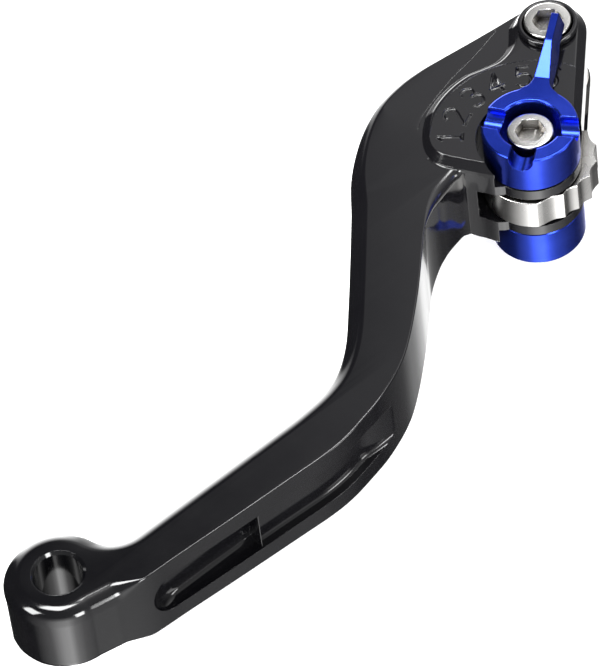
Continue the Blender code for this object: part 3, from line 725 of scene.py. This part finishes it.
def socket_screw(node, body, centre, head_r, head_low, head_top, shank_r, end_z, hex_deg, mat):
    """Cap screw with a hexagon socket whose mouth is turned out to a small cone."""
    round_r = 0.32
    profile = [(0, end_z), (shank_r - 0.6, end_z)] + thread(end_z + 0.3, end_z + 5.5, shank_r)
    profile += [(shank_r, end_z + 6.0), (shank_r, head_low), (head_r - 0.15, head_low), (head_r, head_low + 0.15)]
    profile += arc((head_r - round_r, head_top - round_r), round_r, 0.0, 90.0, 6) + [(0, head_top)]
    screw = make_object(turned(profile, centre, 96), node + "_fine")
    socket = [polar(centre, SOCKET_R, hex_deg + 60 * i) for i in range(6)]
    cut(screw, prism(socket, head_top - SOCKET_DEPTH, head_top + 1), "tool_socket")
    cut(screw, turned([(0, head_top - SOCKET_DEPTH - 0.9), (SOCKET_R - 0.6, head_top - SOCKET_DEPTH + 0.05),
                       (SOCKET_R - 0.6, head_top - 0.35), (SOCKET_R + 0.05, head_top + 0.3),
                       (0, head_top + 0.3)], centre, 96), "tool_socket_mouth")
    place(bake(screw), node, body, mat)


def lock_nut(node, body, centre, corner_r, bore_r, low, high, mat):
    """Hexagon nut, its corners turned back at both ends."""
    flat_r = corner_r * math.cos(math.radians(30))
    corners = [polar(centre, corner_r, 60 * i) for i in range(6)]
    nut = make_object(prism(corners, low, high), node + "_fine")
    rise = (corner_r - flat_r) * 0.6
    cone = turned([(0, low), (flat_r - 0.1, low), (corner_r + 0.3, low + rise), (corner_r + 0.3, high - rise),
                   (flat_r - 0.1, high), (0, high)], centre, 96)
    combine(nut, cone, "INTERSECT", "tool_nut_cone")
    cut(nut, turned([(0, low - 1), (bore_r + 0.6, low - 1), (bore_r + 0.6, low - 0.01), (bore_r, low + 0.4),
                     (bore_r, high - 0.4), (bore_r + 0.6, high + 0.01), (bore_r + 0.6, high + 1), (0, high + 1)],
                    centre, 64), "tool_nut_bore")
    place(bake(nut), node, body, mat)


# ---------------------------------------------------------------- pivot

def cup(mats):
    """Flanged bush around the pivot screw's head."""
    screw_bore = PIVOT_SCREW_R + GAP
    bush_r = PIVOT_BORE_R - GAP
    head_bore = PIVOT_HEAD_R + GAP
    profile = [(screw_bore, FORK_HALF + GAP), (bush_r, FORK_HALF + GAP), (bush_r, ISLAND_Z + GAP)]
    profile += [(CUP_FLANGE_R - 0.1, ISLAND_Z + GAP), (CUP_FLANGE_R, ISLAND_Z + GAP + 0.1)]
    profile += arc((CUP_FLANGE_R - 0.38, CUP_TOP - 0.38), 0.38, 0.0, 90.0, 6)
    profile += arc((head_bore + 0.25, CUP_TOP - 0.25), 0.25, 90.0, 180.0, 5)
    profile += [(head_bore, PIVOT_HEAD_SEAT - GAP), (screw_bore, PIVOT_HEAD_SEAT - GAP)]
    obj = make_object(turned(profile, PIVOT), "pivot_cup_fine")
    place(bake(obj), "pivot_cup", "lever", mats["black_turned"])


def washer(mats):
    top = -HALF_HEAD - GAP
    inner = PIVOT_SCREW_R + GAP
    low = top - WASHER_THICK
    profile = [(inner, low), (WASHER_R - 0.15, low), (WASHER_R, low + 0.15), (WASHER_R, top - 0.15),
               (WASHER_R - 0.15, top), (inner, top)]
    obj = make_object(turned(profile, PIVOT, 96), "pivot_washer_fine")
    place(bake(obj), "pivot_washer", "lever", mats["screw_pivot"])


# ---------------------------------------------------------------- finishes

def add_node(tree, kind, inputs=None, **settings):
    node = tree.nodes.new(kind)
    for key, value in settings.items():
        setattr(node, key, value)
    for key, value in (inputs or {}).items():
        if isinstance(value, bpy.types.NodeSocket):
            tree.links.new(value, node.inputs[key])
        else:
            node.inputs[key].default_value = value
    return node


def math_node(tree, operation, first, second=0.0):
    return add_node(tree, "ShaderNodeMath", {0: first, 1: second}, operation=operation).outputs[0]


def noise(tree, coords, scale, detail=3.0, roughness=0.55):
    return add_node(tree, "ShaderNodeTexNoise", {"Vector": coords, "Scale": scale, "Detail": detail,
                                                 "Roughness": roughness}).outputs[0]


def ramp(tree, factor, stops):
    node = add_node(tree, "ShaderNodeValToRGB", {0: factor})
    elements = node.color_ramp.elements
    for index, (position, color) in enumerate(stops):
        element = elements[index] if index < 2 else elements.new(position)
        element.position = position
        element.color = (*color, 1.0)
    return node.outputs[0]


def value_ramp(tree, factor, stops):
    return ramp(tree, factor, [(position, (value, value, value)) for position, value in stops])


def mix_color(tree, factor, first, second):
    node = add_node(tree, "ShaderNodeMix", {0: factor}, data_type="RGBA")
    for index, color in ((6, first), (7, second)):
        if isinstance(color, bpy.types.NodeSocket):
            tree.links.new(color, node.inputs[index])
        else:
            node.inputs[index].default_value = (*color, 1.0)
    return node.outputs[2]


def scaled(tree, coords, scale):
    return add_node(tree, "ShaderNodeMapping", {"Vector": coords, "Scale": scale}).outputs[0]


def ring_height(tree, coords, centre, spacing):
    """Fine turning marks: noise that depends only on the distance from an upright axis and on height."""
    shifted = add_node(tree, "ShaderNodeVectorMath", {0: coords, 1: (-centre[0] * MM, -centre[1] * MM, 0.0)},
                       operation="ADD").outputs[0]
    parts = add_node(tree, "ShaderNodeSeparateXYZ", {0: shifted}).outputs
    squared = math_node(tree, "ADD", math_node(tree, "MULTIPLY", parts[0], parts[0]),
                        math_node(tree, "MULTIPLY", parts[1], parts[1]))
    radius = math_node(tree, "SQRT", squared)
    rings = add_node(tree, "ShaderNodeCombineXYZ", {0: radius, 1: 0.0, 2: parts[2]}).outputs[0]
    return noise(tree, rings, 1.0 / (spacing * MM), 2.0)


def edge_mask(tree, radius, low, high):
    """Bright along sharp edges, from how far a rounded normal leans from the true one."""
    soft = add_node(tree, "ShaderNodeBevel", {"Radius": radius * MM}, samples=4).outputs[0]
    true = add_node(tree, "ShaderNodeNewGeometry").outputs["True Normal"]
    lean = add_node(tree, "ShaderNodeVectorMath", {0: soft, 1: true}, operation="DOT_PRODUCT").outputs["Value"]
    return value_ramp(tree, lean, [(low, 1.0), (high, 0.0)]), soft


def finish(name, color_low, color_high, metallic, roughness, **options):
    """Anodised or bare metal: two-tone colour, uneven roughness, fine bump and slightly worn edges; options can
    add painted shade in hollows and a painted reflection that lightens the colour towards the head.
    """
    mat = bpy.data.materials.new(name)
    mat.use_nodes = True
    tree = mat.node_tree
    shader = tree.nodes["Principled BSDF"]
    coords = add_node(tree, "ShaderNodeTexCoord").outputs["Object"]
    cloud = noise(tree, coords, CLOUD_SCALE, 4.0)
    grain = noise(tree, coords, GRAIN_SCALE, 2.0)
    color = mix_color(tree, value_ramp(tree, cloud, [(0.35, 0.0), (0.65, 1.0)]), color_low, color_high)
    # painted reflection: the colour is made lighter towards the head along x, standing in for brighter reflections
    # there
    if "painted_sheen_toward_head" in options:
        parts = add_node(tree, "ShaderNodeSeparateXYZ", {0: coords}).outputs
        along = add_node(tree, "ShaderNodeMapRange", {0: parts[0], 1: -0.125, 2: -0.02}).outputs[0]
        color = mix_color(tree, along, color, options["painted_sheen_toward_head"])
    # painted shade: ambient occlusion darkens hollows, sockets and crevices towards a dark colour
    if "painted_cavity_shade" in options:
        depth, painted_shade_color = options["painted_cavity_shade"]
        painted_occlusion = add_node(tree, "ShaderNodeAmbientOcclusion", {"Distance": depth * MM}, samples=6).outputs["AO"]
        color = mix_color(tree, value_ramp(tree, painted_occlusion, [(0.3, 0.0), (0.92, 1.0)]), painted_shade_color, color)
    worn, soft = edge_mask(tree, EDGE_WEAR_R, 0.80, 0.97)
    patches = value_ramp(tree, noise(tree, coords, WEAR_PATCH_SCALE), [(0.42, 0.15), (0.62, 1.0)])
    patchy = math_node(tree, "MULTIPLY", worn, patches)
    color = mix_color(tree, math_node(tree, "MULTIPLY", patchy, options.get("wear", 0.3)), color,
                      options.get("worn_color", (0.5, 0.5, 0.5)))
    spread = options.get("spread", 0.06)
    uneven = add_node(tree, "ShaderNodeMapRange", {0: cloud, 1: 0.3, 2: 0.7, 3: roughness - spread,
                                                   4: roughness + spread}).outputs[0]
    height = grain
    if "rings" in options:
        rings = ring_height(tree, coords, options["rings"], options["spacing"])
        height = math_node(tree, "ADD", math_node(tree, "MULTIPLY", grain, 0.25), rings)
    if "brushed" in options:
        streaks = noise(tree, scaled(tree, coords, options["brushed"]), 1.0, 2.0)
        height = math_node(tree, "ADD", math_node(tree, "MULTIPLY", grain, 0.25), streaks)
    bump = add_node(tree, "ShaderNodeBump", {"Strength": options["bump"], "Distance": BUMP_DISTANCE,
                                             "Height": height, "Normal": soft}).outputs[0]
    tree.links.new(color, shader.inputs["Base Color"])
    tree.links.new(uneven, shader.inputs["Roughness"])
    tree.links.new(bump, shader.inputs["Normal"])
    shader.inputs["Metallic"].default_value = metallic
    shader.inputs["IOR"].default_value = options.get("ior", 1.5)
    mat.diffuse_color = (*color_high, 1.0)
    return mat


def make_materials():
    """One finish for each kind of surface; the black's colour is painted lighter towards the head as a painted
    reflection.
    """
    # the black is painted lighter towards the head, a painted reflection
    black = dict(ior=1.7, spread=0.02, wear=0.1, worn_color=(0.3, 0.3, 0.31), painted_sheen_toward_head=(0.008, 0.0078, 0.0095))
    # the blue and bright finishes get painted shade in their hollows, darkened by ambient occlusion
    blue = dict(rings=DIAL, spacing=0.07, spread=0.05, wear=0.35, worn_color=(0.35, 0.5, 1.0), bump=0.5,
                painted_cavity_shade=(2.5, (0.008, 0.015, 0.2)))
    bright = dict(spread=0.06, wear=0.3, worn_color=(1.0, 0.99, 0.97), bump=0.45,
                  painted_cavity_shade=(2.6, (0.07, 0.055, 0.04)))
    return {
        "black": finish("black_anodised", (0.003, 0.003, 0.004), (0.005, 0.005, 0.006), 0.0, 0.10,
                        bump=0.04, **black),
        "black_turned": finish("black_anodised_turned", (0.003, 0.003, 0.004), (0.006, 0.006, 0.007), 0.0, 0.15,
                               rings=PIVOT, spacing=0.08, bump=0.3, **black),
        "blue": finish("blue_anodised", (0.02, 0.05, 0.50), (0.032, 0.07, 0.62), 0.95, 0.2, **blue),
        "blue_lower": finish("blue_anodised_lower", (0.02, 0.055, 0.52), (0.035, 0.08, 0.66), 0.95, 0.2, **blue),
        "cam": finish("bright_cam", (0.72, 0.71, 0.69), (0.84, 0.83, 0.81), 1.0, 0.28,
                      brushed=(1200.0, 9000.0, 9000.0), **bright),
        "screw_dial": finish("bright_screw_dial", (0.74, 0.73, 0.71), (0.86, 0.85, 0.83), 1.0, 0.22,
                             rings=DIAL, spacing=0.06, **bright),
        "screw_pivot": finish("bright_screw_pivot", (0.74, 0.73, 0.71), (0.86, 0.85, 0.83), 1.0, 0.22,
                              rings=PIVOT, spacing=0.06, **bright),
        "ball": finish("bright_ball", (0.78, 0.78, 0.78), (0.88, 0.88, 0.88), 1.0, 0.08, bump=0.05, spread=0.02),
        "bronze": finish("bearing_bronze", (0.42, 0.26, 0.11), (0.62, 0.42, 0.2), 1.0, 0.38, bump=0.4,
                         worn_color=(0.9, 0.7, 0.4)),
        "steel": finish("plain_steel", (0.32, 0.32, 0.33), (0.5, 0.5, 0.5), 1.0, 0.32, bump=0.4),
        "nylon": finish("nylon_washer", (0.62, 0.6, 0.55), (0.78, 0.77, 0.72), 0.0, 0.5, bump=0.3, wear=0.0),
    }


def dress_inner_nodes(mats):
    """Better finishes for the CAD nodes that stay as they are."""
    finishes = {
        "ball": ["detent_ball"],
        "bronze": ["upper_selector_bush", "lower_selector_bush", "lower_pivot_bush"],
        "steel": ["upper_drive_pin_1", "upper_drive_pin_2", "lower_drive_pin_1", "lower_drive_pin_2",
                  "detent_plug", "detent_spring", "pivot_sleeve"],
        "nylon": ["upper_thrust_washer", "lower_thrust_washer", "upper_pivot_shim", "lower_pivot_shim"],
    }
    for finish_name, nodes in finishes.items():
        for name in nodes:
            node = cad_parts[name]
            node.data.materials.clear()
            node.data.materials.append(mats[finish_name])


# ---------------------------------------------------------------- studio

def add_camera():
    data = bpy.data.cameras.new("camera")
    data.sensor_fit = "HORIZONTAL"
    data.sensor_width = 36.0
    data.lens = CAMERA_LENS
    data.clip_start = 0.05
    data.clip_end = 20.0
    camera = bpy.data.objects.new("camera", data)
    bpy.context.scene.collection.objects.link(camera)
    turn = Matrix.Rotation(math.radians(-CAMERA_AZIMUTH), 4, "Z")
    tilt = Matrix.Rotation(math.radians(90.0 - CAMERA_ELEVATION), 4, "X")
    roll = Matrix.Rotation(math.radians(-CAMERA_ROLL), 4, "Z")
    camera.matrix_world = Matrix.Translation(Vector(CAMERA_PLACE) * MM) @ turn @ tilt @ roll
    bpy.context.scene.camera = camera


def add_softboxes():
    """Rectangular lights at one distance, all turned to the lever's middle."""
    target = Vector(BOX_TARGET)
    for name, (azimuth, elevation, half_angles, brightness) in SOFTBOXES.items():
        azimuth = math.radians(azimuth)
        elevation = math.radians(elevation)
        level = math.cos(elevation)
        toward = Vector((math.sin(azimuth) * level, math.cos(azimuth) * level, math.sin(elevation)))
        data = bpy.data.lights.new(name, "AREA")
        data.shape = "RECTANGLE"
        data.size = 2 * BOX_DISTANCE * math.tan(math.radians(half_angles[0]))
        data.size_y = 2 * BOX_DISTANCE * math.tan(math.radians(half_angles[1]))
        data.energy = brightness * math.pi * data.size * data.size_y
        light = bpy.data.objects.new("softbox_" + name, data)
        bpy.context.scene.collection.objects.link(light)
        light.location = target + toward * BOX_DISTANCE
        light.rotation_euler = (-toward).to_track_quat("-Z", "Y").to_euler()


def add_world():
    """Studio walls: dim above; below the horizon bright behind the object and softly lit in front of it."""
    world = bpy.data.worlds.new("studio")
    world.use_nodes = True
    tree = world.node_tree
    direction = add_node(tree, "ShaderNodeTexCoord").outputs["Generated"]
    parts = add_node(tree, "ShaderNodeSeparateXYZ", {0: direction}).outputs
    turn = math_node(tree, "ARCTAN2", parts[0], parts[1])
    around = add_node(tree, "ShaderNodeMath", {0: turn, 1: 1.0 / (2 * math.pi), 2: 0.5},
                      operation="MULTIPLY_ADD").outputs[0]
    upper = value_ramp(tree, around, WALLS_ABOVE)
    lower = value_ramp(tree, around, WALLS_BELOW)
    height = add_node(tree, "ShaderNodeMapRange", {0: parts[2], 1: WALLS_MEET[0], 2: WALLS_MEET[1]}).outputs[0]
    grey = mix_color(tree, height, lower, upper)
    background = tree.nodes["Background"]
    tree.links.new(grey, background.inputs["Color"])
    background.inputs["Strength"].default_value = WALL_STRENGTH
    bpy.context.scene.world = world


def add_floor():
    """Pale floor just under the object; it isn't mirrored in the metal."""
    low = CAD_BOX[0][2]
    bpy.ops.mesh.primitive_plane_add(size=FLOOR_SIZE, location=(0.0, 0.0, low - FLOOR_DROP))
    floor = bpy.context.object
    floor.name = "floor"
    mat = bpy.data.materials.new("floor")
    mat.use_nodes = True
    shader = mat.node_tree.nodes["Principled BSDF"]
    shader.inputs["Base Color"].default_value = (0.5, 0.5, 0.5, 1.0)
    shader.inputs["Roughness"].default_value = 0.9
    shader.inputs["Emission Color"].default_value = (1.0, 1.0, 1.0, 1.0)
    shader.inputs["Emission Strength"].default_value = FLOOR_GLOW
    floor.data.materials.append(mat)
    floor.visible_glossy = False


def main():
    mats = make_materials()
    lever_body(mats)
    upper_cap(mats)
    lower_cap(mats)
    cam(mats)
    socket_screw("selector_screw", "selector", DIAL, SCREW_HEAD_R, CAP_FLOOR + GAP, SCREW_HEAD_TOP, SCREW_R,
                 SCREW_END, SCREW_HEX_DEG, mats["screw_dial"])
    socket_screw("pivot_screw", "lever", PIVOT, PIVOT_HEAD_R, PIVOT_HEAD_SEAT, PIVOT_HEAD_TOP, PIVOT_SCREW_R,
                 PIVOT_SCREW_END, PIVOT_HEX_DEG, mats["screw_pivot"])
    lock_nut("selector_nut", "selector", DIAL, SELECTOR_NUT_R, SCREW_R + GAP, SELECTOR_NUT_LOW,
             SELECTOR_NUT_HIGH, mats["steel"])
    nut_top = -HALF_HEAD - GAP - WASHER_THICK - GAP
    lock_nut("pivot_lock_nut", "lever", PIVOT, PIVOT_NUT_R, PIVOT_SCREW_R + GAP, nut_top - PIVOT_NUT_HEIGHT,
             nut_top, mats["screw_pivot"])
    washer(mats)
    cup(mats)
    dress_inner_nodes(mats)
    add_camera()
    add_world()
    add_softboxes()
    add_floor()
    bpy.context.scene.view_settings.view_transform = "Standard"


main()
